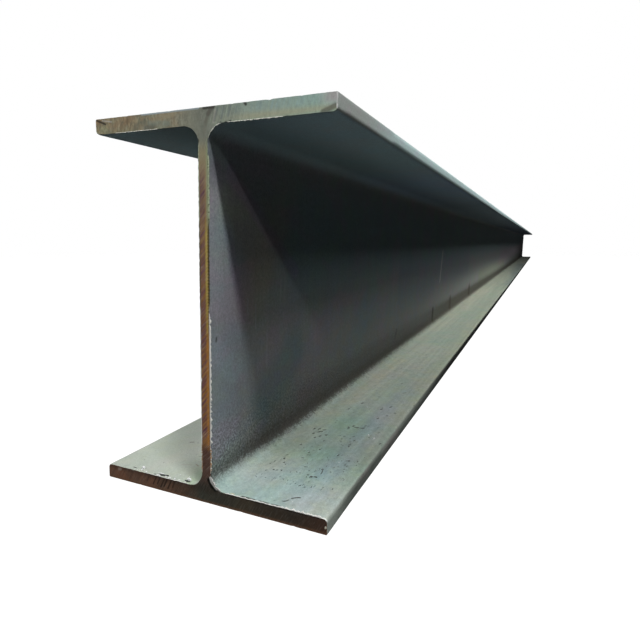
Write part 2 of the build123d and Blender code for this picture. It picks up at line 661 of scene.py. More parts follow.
GRAIN = grain_effect()
PATCHES = patches_effect()
FLECKS = flecks_effect()
STROKE = stroke_effect()
SAW_STROKES = saw_strokes_effect()


def new_material(name, roughness, metallic, specular):
    """A node material: returns it with its tree, its shader and the object coordinates."""
    material = bpy.data.materials.new(name)
    material.use_nodes = True
    tree = material.node_tree
    shader = tree.nodes["Principled BSDF"]
    shader.inputs["Roughness"].default_value = roughness
    shader.inputs["Metallic"].default_value = metallic
    shader.inputs["Specular IOR Level"].default_value = specular
    where = tree.nodes.new("ShaderNodeTexCoord").outputs["Object"]
    return material, tree, shader, where


def bump(tree, shader, height, strength, distance):
    """Feeds the shader's normal from a height, in metres when scaled by distance."""
    node = put(tree, "Bump", Strength=strength, Distance=distance, Height=height)
    tree.links.new(node.outputs[0], shader.inputs["Normal"])


def on_web(from_end, up):
    """A place on the web's right side, from millimetres back from the near end and up."""
    return HALF_WEB, from_end * MM - HALF_LENGTH, up * MM


def on_lower_flange(across, from_end):
    """A place on the lower flange's inside, from millimetres across and back from the near end."""
    return across * MM, from_end * MM - HALF_LENGTH, FLANGE_THICKNESS


def on_near_cut(across, up):
    """A place on the near sawn end, from millimetres across and up."""
    return across * MM, -HALF_LENGTH, up * MM


def draw(tree, where, colour, place, strokes, mode="MIX"):
    """Draws strokes over a colour, each as (from, to, width in millimetres, paint, strength)."""
    for start, end, width, paint, strength in strokes:
        mask = use(tree, STROKE, Vector=where, From=place(*start), To=place(*end), Width=width * MM)["Mask"]
        colour = blend(tree, times(tree, mask, strength), colour, paint, mode)
    return colour


# Strokes on the faces: from, to, width in mm, paint and strength. Their places are in mm, on the web back
# from the near end and up, on the flange across and back, and on the cut across and up.
SOOT, OIL, RUST_FLECK = (0.025, 0.024, 0.020), (0.03, 0.03, 0.024), (0.24, 0.15, 0.10)

# Dark ticks in the lower root
ROOT_TICKS = (
    ((911, 18), (915, 42), 14.0, (0.012, 0.012, 0.010), 0.95),
    ((1167, 22), (1171, 36), 26.0, (0.030, 0.027, 0.020), 0.9),
    ((1585, 22), (1591, 33), 34.0, (0.045, 0.040, 0.030), 0.85),
)
# Two dark spots, a pale rub and faint upright rubs on the web
WEB_STROKES = (
    ((566, 38), (574, 48), 6.0, SOOT, 0.5),
    ((9, 127), (9.5, 129), 1.6, SOOT, 0.7),
    ((990, 108), (1010, 176), 9.0, (0.34, 0.35, 0.36), 0.75),
    ((71, 128), (71, 148), 1.6, (0.22, 0.24, 0.24), 0.5),
    ((57, 142), (57, 154), 1.8, (0.20, 0.22, 0.22), 0.45),
    ((118, 146), (119, 166), 2.4, (0.21, 0.23, 0.22), 0.45),
    ((126, 142), (127, 168), 2.2, (0.20, 0.22, 0.21), 0.4),
    ((92, 90), (92, 126), 2.4, (0.20, 0.21, 0.22), 0.35),
)
# Broad soft tints on the right of the web, which multiply its colour: partly stains, partly painted light
# and shade
WEB_TINTS = (
    ((4, 228), (12, 250), 15, (1.10, 0.95, 1.04), 0.9),
    ((16, 204), (26, 210), 14, (0.94, 1.04, 1.00), 0.9),
    ((20, 60), (34, 120), 34, (0.95, 1.00, 1.05), 0.7),
    ((38, 232), (84, 180), 30, (1.10, 0.99, 0.90), 0.95),
    ((66, 150), (92, 130), 30, (1.06, 0.99, 0.96), 0.8),
    ((30, 252), (150, 172), 11, (1.10, 0.94, 1.12), 0.9),
    ((24, 215), (50, 140), 9, (1.06, 0.96, 1.10), 0.7),
    ((62, 150), (110, 215), 36, (1.05, 1.01, 0.92), 0.8),
    ((180, 200), (6500, 235), 80, (0.82, 1.03, 1.10), 0.9),
    ((92, 60), (150, 92), 36, (0.72, 0.88, 0.92), 0.9),
    ((6, 120), (36, 98), 16, (1.10, 1.13, 1.14), 0.9),
    ((600, 130), (1500, 130), 50, (0.88, 0.90, 1.00), 0.8),
    ((350, 100), (900, 95), 34, (0.88, 0.93, 0.98), 0.7),
    ((330, 60), (420, 120), 40, (0.88, 1.04, 1.05), 0.7),
    ((170, 50), (240, 110), 34, (1.06, 0.96, 1.08), 0.7),
    ((3000, 110), (6500, 140), 66, (1.12, 0.95, 1.06), 0.9),
    ((1900, 62), (3400, 62), 44, (0.98, 1.00, 0.84), 0.9),
)
# Broad soft tints on the right of the lower flange, which multiply its colour; the dark bluish ones far
# along are painted shade
FLANGE_TINTS = (
    ((18, 0), (60, 40), 46, (0.93, 1.03, 1.05), 0.8),
    ((50, 110), (56, 190), 34, (0.88, 0.98, 0.95), 0.9),
    ((46, 190), (52, 320), 26, (0.95, 1.00, 0.98), 0.6),
    ((76, 62), (78, 340), 17, (0.97, 0.97, 1.09), 0.9),
    ((68, 18), (82, 36), 20, (1.02, 0.97, 1.03), 0.8),
    ((36, 30), (44, 34), 9, (1.06, 1.00, 0.99), 0.9),
    ((24, 60), (26, 520), 13, (1.07, 1.01, 0.95), 0.9),
    ((94, 50), (96, 1200), 22, (1.02, 1.00, 0.93), 0.8),
    ((66, 700), (80, 2300), 44, (0.86, 0.93, 0.93), 0.8),
    ((125, 2200), (104, 3200), 60, (0.72, 0.78, 0.88), 0.9),
    ((106, 3200), (86, 4600), 70, (0.70, 0.76, 0.86), 0.8),
)
# Scratches and specks of rust left of the web, and oil along the cut on the right
FLANGE_STROKES = (
    ((-66.5, 71), (-64, 73), 1.4, (0.16, 0.14, 0.11), 0.7),
    ((-40, 48), (-22, 60), 1.2, (0.30, 0.30, 0.26), 0.6),
    ((-34, 38), (-20, 43), 0.9, (0.30, 0.24, 0.20), 0.6),
    ((-44, 27), (-36, 30), 0.9, (0.32, 0.26, 0.24), 0.5),
    ((-33, 33), (-29, 31), 0.7, RUST_FLECK, 0.7),
    ((-24, 40), (-20, 38), 0.7, RUST_FLECK, 0.7),
    ((31, 1.6), (41, 1.6), 1.7, (0.02, 0.02, 0.016), 0.95),
    ((46, 1.6), (53, 1.4), 1.5, OIL, 0.85),
    ((56, 1.5), (62, 1.4), 1.5, OIL, 0.85),
    ((21, 2.4), (23.5, 2.2), 1.2, (0.60, 0.52, 0.30), 0.6),
)


def web_colour(tree, where, up, from_near, to_cut, cloud, fine_cloud, flat):
    """Blue-grey scale with greenish, purplish and olive patches, painted light beside the cut, and dust and
    painted light far along.

    Upright streaks, blots and specks break it up, and the flat sides have their own marks and tints, partly
    painted light and shade.
    """
    colour = blend(tree, cloud["First"], (0.152, 0.172, 0.186), (0.154, 0.186, 0.178))
    colour = blend(tree, times(tree, cloud["Second"], 0.8), colour, (0.178, 0.164, 0.190))
    olive = times(tree, fine_cloud["Drift"], span(tree, up, 60 * MM, 180 * MM, 0.65, 0.2),
                  span(tree, to_cut, 20 * MM, 80 * MM, 0.3, 1.0))
    colour = blend(tree, olive, colour, (0.176, 0.170, 0.138))
    # Painted light: the lit strip beside the cut, brightest high on the web
    pale = times(tree, bell(tree, to_cut, 0.0, 30 * MM), span(tree, up, 130 * MM, 200 * MM, 0.42, 0.95),
                 span(tree, up, 228 * MM, 258 * MM, 1.0, 0.15))
    # Darker low down, from a few centimetres to a metre and a half from the cut: partly dirt, partly painted
    # shade
    dirt_and_shade_low = times(tree, span(tree, up, 40 * MM, 118 * MM, 0.42, 0.0), span(tree, to_cut, 25 * MM, 95 * MM),
                  span(tree, to_cut, 0.5, 1.5, 1.0, 0.0))
    # Paler patches low on the web far along: partly dust, partly painted light
    dust_and_light = times(tree, bell(tree, from_near, 2.6, 1.3), bell(tree, up, 57 * MM, 42 * MM), 1.9)
    far_dust_and_light = times(tree, bell(tree, from_near, 4.9, 1.0), bell(tree, up, 120 * MM, 45 * MM), 0.9)
    dust_and_light = calc(tree, "ADD", dust_and_light, far_dust_and_light)
    factor = calc(tree, "ADD", span(tree, to_cut, 0.3, 2.6, 1.0, 1.1), calc(tree, "SUBTRACT", pale, dirt_and_shade_low))
    upright = noise(tree, stretched(tree, where, (1.0, 1.0, 0.05)), 160.0, detail=4.0, roughness=0.6)
    blots = noise(tree, where, 260.0, detail=3.0, roughness=0.7)
    specks = noise(tree, where, 520.0, detail=2.0, roughness=0.8)
    low_down = times(tree, span(tree, up, 34 * MM, 80 * MM, 1.0, 0.12),
                     span(tree, to_cut, 0.2, 0.9, 1.0, 0.3))
    specked = calc(tree, "MULTIPLY_ADD", low_down, span(tree, specks, 0.4, 0.62, -0.42, 0.48, "LINEAR"), 1.0)
    factor = times(tree, calc(tree, "ADD", factor, dust_and_light), uneven(tree, upright, 0.04),
                   uneven(tree, blots, 0.08, 0.15), specked)
    colour = lit(tree, colour, factor)
    if flat:
        colour = draw(tree, where, colour, on_web, WEB_TINTS, "MULTIPLY")
        colour = draw(tree, where, colour, on_web, WEB_STROKES)
    return draw(tree, where, colour, on_web, ROOT_TICKS)


def upward_colour(tree, where, across, up, from_near, to_cut, cloud, fine_cloud):
    """Dusty grey-green on the upward faces: blue-green near the cut, paler further along the beam, with
    painted light by the cut and painted shade towards the far end.

    The left of the lower flange is plainer, and painted light makes it paler where the web shades it; the
    upper flange's top is like the right.
    """
    # Brightness along the beam: partly dust, partly painted light in the first tenth of a metre and painted
    # shade towards the far end
    drift = ramp(tree, span(tree, from_near, 0.0, 4.5, kind="LINEAR"), [
        (0.006, (0.310, 0.355, 0.330)),
        (0.017, (0.250, 0.310, 0.278)),
        (0.027, (0.226, 0.270, 0.238)),
        (0.090, (0.264, 0.294, 0.254)),
        (0.175, (0.366, 0.404, 0.332)),
        (0.400, (0.560, 0.590, 0.476)),
        (0.600, (0.530, 0.570, 0.462)),
        (1.0, (0.380, 0.414, 0.350)),
    ])
    right = drift
    for mask, strength, tint in ((cloud["First"], 0.7, (0.88, 0.99, 0.98)),
                                 (cloud["Second"], 0.6, (1.03, 0.97, 1.04)),
                                 (fine_cloud["Second"], 0.7, (1.06, 1.03, 0.92))):
        right = blend(tree, times(tree, mask, strength), right, tint, "MULTIPLY")
    right = draw(tree, where, right, on_lower_flange, FLANGE_TINTS, "MULTIPLY")
    drawn_out = noise(tree, stretched(tree, where, (1.0, 0.02, 1.0)), 190.0, detail=4.0, roughness=0.6)
    blots = noise(tree, stretched(tree, where, (1.0, 0.6, 1.0)), 300.0, detail=3.0, roughness=0.7)
    right = lit(tree, right, times(tree, uneven(tree, drawn_out, 0.1), uneven(tree, blots, 0.1, 0.15)))
    # Painted light: brighter in the first tenth of a metre from the cut, where light reaches in under the
    # upper flange
    right = lit(tree, right, span(tree, to_cut, 18 * MM, 118 * MM, 1.28, 1.0))
    left = blend(tree, cloud["First"], (0.380, 0.422, 0.366), (0.396, 0.418, 0.374))
    left = blend(tree, times(tree, fine_cloud["Second"], 0.5), left, (1.04, 1.02, 0.93), "MULTIPLY")
    # Painted light on the left flange, where the web shades it behind the first few centimetres from the cut
    left = lit(tree, left, span(tree, to_cut, 25 * MM, 90 * MM, 1.0, 1.38))
    paler = times(tree, span(tree, across, -75 * MM, -30 * MM), span(tree, to_cut, 22 * MM, 50 * MM), 0.46)
    left = lit(tree, left, calc(tree, "ADD", paler, 1.0))
    by_web = bell(tree, across, -17 * MM, 8 * MM)
    left = blend(tree, by_web, left, (0.88, 1.0, 0.86), "MULTIPLY")
    on_right = calc(tree, "MAXIMUM", span(tree, across, -5 * MM, 5 * MM), span(tree, up, *BETWEEN_FLANGES))
    colour = blend(tree, on_right, left, right)
    smudge = times(tree, fine_cloud["First"], 0.35)
    colour = blend(tree, smudge, colour, (0.88, 0.91, 0.89), "MULTIPLY")
    return draw(tree, where, colour, on_lower_flange, FLANGE_STROKES)


def underside_colour(tree, across, to_cut, cloud):
    """Dark teal scale under the upper flange, darker at the very cut, with painted light from below that is
    brighter by the tips than by the web.

    Away from the cut the painted light fades, so that it turns darker, and it turns bluer.
    """
    colour = blend(tree, cloud["First"], (0.306, 0.408, 0.464), (0.326, 0.404, 0.450))
    colour = blend(tree, span(tree, to_cut, 0.2, 0.5), colour, (0.98, 0.98, 1.25), "MULTIPLY")
    # Painted light from below: brighter towards the flange tips, darker by the web, fading away from the cut
    outward = span(tree, calc(tree, "ABSOLUTE", across), 15 * MM, 98 * MM, 0.84, 1.52)
    painted_light_fade = span(tree, to_cut, 0.15, 0.95, 1.0, 0.40, "LINEAR")
    edge = span(tree, to_cut, 0.5 * MM, 2 * MM, 0.35, 1.0)
    return lit(tree, colour, times(tree, outward, painted_light_fade, edge))


def toe_colour(tree, up, to_cut, cloud, fine_cloud):
    """The flange tips: grey and then pale blue-green along the upper ones, which painted light brightens
    further along, and dark olive on the lower ones, with painted light by the cut.
    """
    upper = blend(tree, span(tree, to_cut, 0.03, 0.20), (0.410, 0.450, 0.420), (0.562, 0.745, 0.725))
    upper = blend(tree, times(tree, fine_cloud["Second"], 0.6), upper, (1.06, 0.93, 1.01), "MULTIPLY")
    # Painted light: the upper tips brighten along the beam, where less lamp light reaches them
    upper = lit(tree, upper, span(tree, to_cut, 0.05, 1.5, 1.0, 1.38))
    lower = blend(tree, cloud["First"], (0.125, 0.142, 0.125), (0.145, 0.148, 0.135))
    lower = blend(tree, times(tree, fine_cloud["Second"], 0.5), lower, (0.7, 0.7, 0.7), "MULTIPLY")
    # Painted light: the lower tips are brighter by the cut, and they turn much darker further along
    near = calc(tree, "MULTIPLY_ADD", bell(tree, to_cut, 0.0, 36 * MM), 1.8, 1.08)
    lower = lit(tree, lower, times(tree, near, span(tree, to_cut, 0.15, 0.6, 1.0, 0.16)))
    return blend(tree, span(tree, up, 30 * MM, 200 * MM), lower, upper)


def flange_colour(tree, where, spot, from_near, to_cut, cloud, fine_cloud, web):
    """The flanges' colours by the way they face, over the web's on the roots, and the dark flecks' mask."""
    across, up = spot[0], spot[2]
    side_reach = calc(tree, "ABSOLUTE", across)
    aim = put(tree, "SeparateXYZ", Vector=put(tree, "NewGeometry").outputs["Normal"]).outputs[2]
    upward = upward_colour(tree, where, across, up, from_near, to_cut, cloud, fine_cloud)
    level = span(tree, side_reach, 25 * MM, 60 * MM, 0.93, 0.7)
    colour = blend(tree, span(tree, aim, 0.25, level), web, upward)
    under = underside_colour(tree, across, to_cut, cloud)
    colour = blend(tree, span(tree, aim, -0.2, -1.0), colour, under)
    low_toe = span(tree, up, 30 * MM, 60 * MM, 1.0, 0.0)
    toe_start = calc(tree, "MULTIPLY_ADD", low_toe, -0.5 * MM, FLANGE_TIP - 2.2 * MM)
    aside = calc(tree, "MULTIPLY_ADD", low_toe, -0.14, calc(tree, "ABSOLUTE", aim))
    on_toe = times(tree, span(tree, calc(tree, "SUBTRACT", side_reach, toe_start), -0.4 * MM, 0.4 * MM),
                   span(tree, aside, 0.4, 0.8, 1.0, 0.0))
    colour = blend(tree, on_toe, colour, toe_colour(tree, up, to_cut, cloud, fine_cloud))

    # Flecks: dashes drawn out along the beam, and finer dots
    lengthened = stretched(tree, where, (1.0, 0.42, 1.0))
    dashes = use(tree, FLECKS, Vector=lengthened, Scale=110.0, Share=0.14, Size=0.15)
    dots = use(tree, FLECKS, Vector=where, Scale=210.0, Share=0.12, Size=0.2)
    flecks = calc(tree, "MAXIMUM", times(tree, dashes["Mask"], 0.6), times(tree, dots["Mask"], 0.5))
    flecks = times(tree, flecks, span(tree, aim, 0.35, 0.85), span(tree, across, 0.0, 30 * MM, 0.25, 1.0))
    return blend(tree, flecks, colour, (0.09, 0.10, 0.09)), flecks


def grime_and_shade_mask(tree, where, across, up, from_near, to_cut):
    """Oily dirt and painted shade along the lower root: a dark core on the fillet, and a mottled band above
    it.

    Away from the cut it starts lower and the core reaches higher. Far along, a plainer band takes the
    mottled one's place, and its top sinks slowly.
    """
    rolled = stretched(tree, where, (1.0, 0.6, 1.0))
    fray = calc(tree, "SUBTRACT", noise(tree, rolled, 260.0, detail=6.0, roughness=0.8), 0.5)
    speckle = calc(tree, "SUBTRACT", noise(tree, where, 640.0, detail=2.0, roughness=0.8), 0.5)
    settled = span(tree, to_cut, 0.5, 1.3, 0.0, -1.0 * MM)
    foot = calc(tree, "ADD", times(tree, fray, 18 * MM), calc(tree, "MULTIPLY_ADD", speckle, 12 * MM, up))
    foot_start = span(tree, to_cut, 0.02, 0.12, 17 * MM, 13.5 * MM)
    foot_end = span(tree, to_cut, 0.03, 0.16, 22 * MM, 18.5 * MM)
    rising = span(tree, foot, calc(tree, "ADD", foot_start, settled), calc(tree, "ADD", foot_end, settled))
    height = calc(tree, "ADD", times(tree, fray, 30 * MM), calc(tree, "MULTIPLY_ADD", speckle, 26 * MM, up))
    core_top = span(tree, to_cut, 0.0, 0.12, 39 * MM, 44 * MM)
    core = times(tree, span(tree, height, core_top, 20 * MM, 0.0, 0.88),
                 span(tree, to_cut, 0.5, 1.5, 1.0, 0.9))
    dotted = span(tree, speckle, -0.1, 0.12, 0.5, 1.35, "LINEAR")
    band = times(tree, span(tree, height, 60 * MM, 38 * MM, 0.0, 0.48), dotted,
                 span(tree, to_cut, 0.02, 0.2))
    sunk = calc(tree, "ADD", height, span(tree, from_near, 1.3, 3.2, 0.0, 9 * MM, "LINEAR"))
    far_band = times(tree, span(tree, sunk, 50 * MM, 42 * MM, 0.0, 0.8), span(tree, to_cut, 0.45, 1.2))
    in_bay = span(tree, calc(tree, "ABSOLUTE", across), 19 * MM, 23 * MM, 1.0, 0.0)
    faint_start = span(tree, to_cut, 0.0, 0.09, 0.72, 1.0)
    # The mask holds painted shade in the root crease as well as dirt
    dirt = calc(tree, "MAXIMUM", calc(tree, "MAXIMUM", core, band), far_band)
    return times(tree, rising, dirt, in_bay, faint_start)


def mill_scale(name, flat_web):
    """The rolled faces: scale in blue, green and violet greys with painted light and shade, dust on top, and
    oily dirt with painted shade in the lower roots.

    It is made twice, once for the web's flat sides with their own tints and marks, and once for the rest.
    """
    material, tree, shader, where = new_material(name, roughness=0.62, metallic=0.0, specular=0.18)
    spot = put(tree, "SeparateXYZ", Vector=where)
    across, along, up = spot.outputs[0], spot.outputs[1], spot.outputs[2]
    from_near = calc(tree, "ADD", along, HALF_LENGTH)
    to_cut = calc(tree, "SUBTRACT", HALF_LENGTH, calc(tree, "ABSOLUTE", along))
    rolled = stretched(tree, where, (1.0, 0.6, 1.0))
    cloud = use(tree, PATCHES, Vector=rolled, Scale=24.0)
    fine_cloud = use(tree, PATCHES, Vector=rolled, Scale=85.0)
    grain = use(tree, GRAIN, Vector=where, Scale=420.0)["Value"]
    grit = noise(tree, where, 1100.0, detail=2.0, roughness=0.7)
    mottle = calc(tree, "MULTIPLY_ADD", grit, 0.5, times(tree, grain, 0.5))
    height = mottle

    colour = web_colour(tree, where, up, from_near, to_cut, cloud, fine_cloud, flat_web)
    if not flat_web:
        colour, flecks = flange_colour(
            tree, where, spot.outputs, from_near, to_cut, cloud, fine_cloud, web=colour)
        height = calc(tree, "MULTIPLY_ADD", flecks, -0.8, mottle)
    colour = lit(tree, colour, uneven(tree, mottle, 0.28))

    # Oily dirt with painted shade in the lower roots
    grime_and_shade = grime_and_shade_mask(tree, where, across, up, from_near, to_cut)
    grime_and_shade_colour = blend(tree, span(tree, mottle, 0.35, 0.65), (0.011, 0.010, 0.008), (0.056, 0.051, 0.040))
    grime_and_shade_colour = blend(tree, span(tree, to_cut, 0.5, 1.4), grime_and_shade_colour, (0.094, 0.083, 0.060))
    colour = blend(tree, times(tree, grime_and_shade, 0.93), colour, grime_and_shade_colour)
    # A bright line of bare metal runs along the edge of the cut on the right
    if not flat_web:
        worn = calc(tree, "MULTIPLY_ADD", calc(tree, "SUBTRACT", grit, 0.5), 3.5 * MM, to_cut)
        wire = times(tree, span(tree, worn, 0.8 * MM, 1.8 * MM, 1.0, 0.0),
                     span(tree, across, 12 * MM, 40 * MM), span(tree, up, 9 * MM, 11 * MM),
                     span(tree, up, *BETWEEN_FLANGES, 0.7, 0.0))
        colour = blend(tree, wire, colour, (0.86, 0.88, 0.84))

    tree.links.new(colour, shader.inputs["Base Color"])
    tree.links.new(span(tree, grain, 0.3, 0.7, 0.5, 0.75, "LINEAR"), shader.inputs["Roughness"])
    bump(tree, shader, height, strength=0.4, distance=0.4 * MM)
    return material


BRIGHT, TORN = (0.75, 0.74, 0.70), (0.88, 0.88, 0.84)
DARK_NICK, PIT, CURL_SHADOW = (0.04, 0.035, 0.03), (0.01, 0.01, 0.01), (0.004, 0.004, 0.003)
BURNT, SCORCHED = (0.026, 0.018, 0.014), (0.030, 0.020, 0.016)
# On the cut: nicks and scratches of the upper flange and a painted highlight along its top edge, the lower
# root with its torn metal and the painted shadow under its curl, burnt strokes at the left of the lower
# flange, and a painted highlight at its right tip
FACE_STROKES = (
    ((1.0, 293.4), (8.5, 293.2), 2.0, DARK_NICK, 0.85),
    ((7.8, 292.5), (4.5, 289), 2.6, (0.10, 0.09, 0.08), 0.6),
    ((5.0, 290), (2.5, 284), 2.0, (0.16, 0.15, 0.12), 0.5),
    ((3.0, 285), (1.0, 277), 2.2, (0.20, 0.19, 0.15), 0.4),
    ((10.5, 291), (9.0, 283), 1.4, (0.62, 0.58, 0.50), 0.35),
    ((-99.6, 293.2), (-90, 289.5), 1.1, DARK_NICK, 0.85),
    ((-93, 292.4), (-84, 290.8), 0.9, BRIGHT, 0.4),
    ((-50, 283.5), (-44, 284.5), 3.0, (0.13, 0.14, 0.12), 0.5),
    ((90, 282.5), (98.5, 285.5), 2.6, (0.12, 0.11, 0.09), 0.7),
    ((33.5, 293.8), (34.5, 292.4), 1.5, DARK_NICK, 0.85),
    ((12.5, 280.2), (14.5, 282), 1.3, PIT, 0.9),
    ((17.5, 281.6), (19.0, 282.2), 1.1, PIT, 0.9),
    ((21.0, 281.8), (22.5, 282.6), 1.2, PIT, 0.9),
    ((-74, 285), (-66, 292), 3.0, (0.24, 0.16, 0.09), 0.45),
    ((-62, 284), (-52, 288), 3.6, (0.17, 0.18, 0.14), 0.45),
    ((-40, 290), (-26, 291), 2.6, (0.46, 0.40, 0.26), 0.5),
    ((-47, 287), (-30, 285), 3.0, (0.26, 0.31, 0.26), 0.5),
    ((12, 292), (9.5, 284), 1.5, (0.17, 0.20, 0.20), 0.5),
    ((17, 292.5), (15, 285), 1.3, (0.20, 0.24, 0.24), 0.5),
    ((22.5, 292.5), (20.5, 286), 1.2, (0.21, 0.26, 0.26), 0.45),
    ((28.0, 293), (26.8, 288), 1.2, (0.24, 0.30, 0.30), 0.4),
    ((46, 293.2), (44.8, 289), 1.2, (0.26, 0.34, 0.34), 0.4),
    ((-4, 112), (-3.6, 108), 1.2, DARK_NICK, 0.8),
    # Painted shadow under the curl of torn metal in the lower root
    ((2.2, 19.6), (4.8, 15.0), 2.6, CURL_SHADOW, 0.97),
    ((4.8, 15.0), (8.0, 12.4), 2.2, CURL_SHADOW, 0.9),
    ((3.7, 21.4), (4.4, 18.8), 1.6, TORN, 0.95),
    ((5.0, 17.6), (6.6, 16.0), 1.4, (0.80, 0.80, 0.77), 0.9),
    ((7.6, 15.2), (9.2, 13.8), 1.6, TORN, 0.95),
    ((10.8, 13.2), (12.8, 12.5), 1.0, (0.80, 0.82, 0.78), 0.85),
    # Painted highlight along the left half of the top edge
    ((-54, 293.7), (-4, 293.7), 1.5, (0.46, 0.54, 0.58), 0.85),
    ((99.6, 284.5), (99.6, 293), 0.9, (0.85, 0.86, 0.84), 0.8),
    ((-89, 9), (-87, 9.5), 1.8, (0.50, 0.40, 0.33), 0.6),
    # Painted highlight at the lower right tip
    ((98.7, 5.4), (98.9, 6.2), 1.1, (0.95, 0.90, 0.72), 0.95),
    ((-52.5, 4.0), (-49.0, 10.6), 1.0, SCORCHED, 0.7),
    ((-48.0, 5.0), (-45.2, 10.8), 1.0, SCORCHED, 0.75),
    ((-44.6, 3.4), (-41.0, 10.4), 1.1, BURNT, 0.8),
    ((-41.2, 4.6), (-38.2, 10.6), 1.1, BURNT, 0.85),
    ((-37.4, 3.6), (-34.0, 10.4), 1.0, BURNT, 0.8),
    ((-33.0, 5.4), (-30.6, 10.2), 1.0, SCORCHED, 0.7),
    ((-59.0, 5.0), (-56.5, 10.0), 0.9, (0.040, 0.026, 0.020), 0.55),
)


def upper_face_colour(tree, where, across, up, toe_to_toe, marks, cloud, fine_cloud):
    """The upper flange's cut: ochre and tan at the left, grey-green to pale teal at the right, mottled."""
    colour = ramp(tree, toe_to_toe, [
        (0.0, (0.405, 0.395, 0.245)),
        (0.25, (0.340, 0.345, 0.235)),
        (0.40, (0.350, 0.355, 0.265)),
        (0.5, (0.264, 0.292, 0.232)),
        (0.58, (0.405, 0.490, 0.390)),
        (0.8, (0.400, 0.510, 0.420)),
        (1.0, (0.440, 0.670, 0.560)),
    ])
    leftward = span(tree, across, -5 * MM, -45 * MM)
    for mask, strength, paint in ((cloud["First"], 0.9, (0.400, 0.300, 0.180)),
                                  (fine_cloud["Second"], 0.45, (0.420, 0.250, 0.120)),
                                  (fine_cloud["First"], 0.55, (0.230, 0.210, 0.150))):
        colour = blend(tree, times(tree, mask, leftward, strength), colour, paint)
    bluish = times(tree, cloud["Second"], bell(tree, across, -42 * MM, 22 * MM),
                   span(tree, up, 284 * MM, 289 * MM, 1.0, 0.2))
    colour = blend(tree, bluish, colour, (0.280, 0.350, 0.310))
    soft = times(tree, marks["Streak"], span(tree, across, 15 * MM, 50 * MM),
                 span(tree, up, 284 * MM, 289 * MM))
    colour = blend(tree, times(tree, soft, 0.55), colour, (0.330, 0.490, 0.520))
    band = times(tree, bell(tree, up, 284.5 * MM, 2.4 * MM), span(tree, across, -5 * MM, 40 * MM))
    colour = blend(tree, times(tree, band, 0.7), colour, (0.500, 0.500, 0.330))
    pink = times(tree, span(tree, up, 284 * MM, 291 * MM), span(tree, across, 84 * MM, 97 * MM))
    colour = blend(tree, times(tree, pink, 0.75), colour, (0.560, 0.480, 0.490))
    by_root = bell(tree, across, 17 * MM, 17 * MM)
    # Near the root the saw's streaks and painted groove shade darken the cut
    strokes = times(tree, calc(tree, "MAXIMUM", marks["GrooveShade"], marks["Streak"]), by_root, 0.6)
    colour = blend(tree, strokes, colour, (0.190, 0.215, 0.200))
    dirt = times(tree, fine_cloud["Drift"], bell(tree, across, 0.0, 20 * MM), 0.4)
    colour = blend(tree, dirt, colour, (0.235, 0.225, 0.190))
    drawn = noise(tree, stretched(tree, where, (1.0, 1.0, 0.45)), 420.0, detail=3.0, roughness=0.7)
    swing = span(tree, across, -5 * MM, -30 * MM, 0.1, 0.3)
    shade = times(tree, span(tree, drawn, 0.35, 0.65, -1.0, 1.0, "LINEAR"), swing)
    return lit(tree, colour, calc(tree, "ADD", shade, 1.0))


def web_face_colour(tree, across, up, marks):
    """The web's cut: tan and orange with mauve strokes, and a gold stripe along its right side.

    Dark notches stand beside the stripe's upper part, with an olive fringe above them.
    """
    colour = ramp(tree, span(tree, up, 0.0, DEPTH, kind="LINEAR"), [
        (0.07, (0.205, 0.125, 0.098)),
        (0.145, (0.195, 0.098, 0.070)),
        (0.17, (0.540, 0.260, 0.090)),
        (0.31, (0.570, 0.272, 0.068)),
        (0.51, (0.500, 0.246, 0.062)),
        (0.667, (0.460, 0.262, 0.086)),
        (0.816, (0.478, 0.320, 0.160)),
        (0.89, (0.455, 0.400, 0.240)),
        (0.94, (0.436, 0.410, 0.280)),
    ])
    striped = times(tree, span(tree, across, 2.4 * MM, 0.0), span(tree, up, 45 * MM, 60 * MM),
                    span(tree, up, 235 * MM, 262 * MM, 1.0, 0.0))
    colour = blend(tree, times(tree, marks["Streak"], striped), colour, (0.225, 0.095, 0.140))
    # Painted shade in the saw's grooves
    colour = blend(tree, times(tree, marks["GrooveShade"], striped, 0.75), colour, (0.140, 0.080, 0.070))
    stripe = times(tree, bell(tree, across, 2.2 * MM, 1.05 * MM), span(tree, up, 40 * MM, 52 * MM),
                   span(tree, up, 205 * MM, 222 * MM, 1.0, 0.0))
    kept = span(tree, up, 140 * MM, 165 * MM, 0.15, 0.75)
    gold = blend(tree, span(tree, up, 122 * MM, 142 * MM), (0.80, 0.34, 0.07), (0.74, 0.58, 0.13))
    stripe = times(tree, stripe, span(tree, marks["Streak"], 0.0, 1.0, 1.0, kept))
    colour = blend(tree, stripe, colour, gold)
    teeth = span(tree, calc(tree, "SINE", times(tree, up, 2 * math.pi / (2.3 * MM))), -0.2, 0.5)
    notched = times(tree, span(tree, across, 2.5 * MM, 3.0 * MM), span(tree, up, 120 * MM, 150 * MM),
                    span(tree, up, 206 * MM, 216 * MM, 1.0, 0.0), teeth)
    colour = blend(tree, times(tree, notched, 0.9), colour, (0.045, 0.040, 0.018))
    fringe = times(tree, span(tree, across, 1.6 * MM, 2.8 * MM), span(tree, up, 205 * MM, 222 * MM))
    # Darker olive in the grooves as painted shade
    olive = blend(tree, marks["GrooveShade"], (0.48, 0.53, 0.31), (0.22, 0.27, 0.14))
    colour = blend(tree, fringe, colour, olive)
    left_edge = times(tree, span(tree, across, -2.9 * MM, -3.6 * MM), span(tree, up, 20 * MM, 40 * MM),
                      span(tree, up, 235 * MM, 262 * MM, 1.0, 0.0))
    colour = blend(tree, times(tree, left_edge, 0.8), colour, (0.150, 0.150, 0.085))
    return lit(tree, colour, uneven(tree, marks["Height"], 0.28, 0.4))


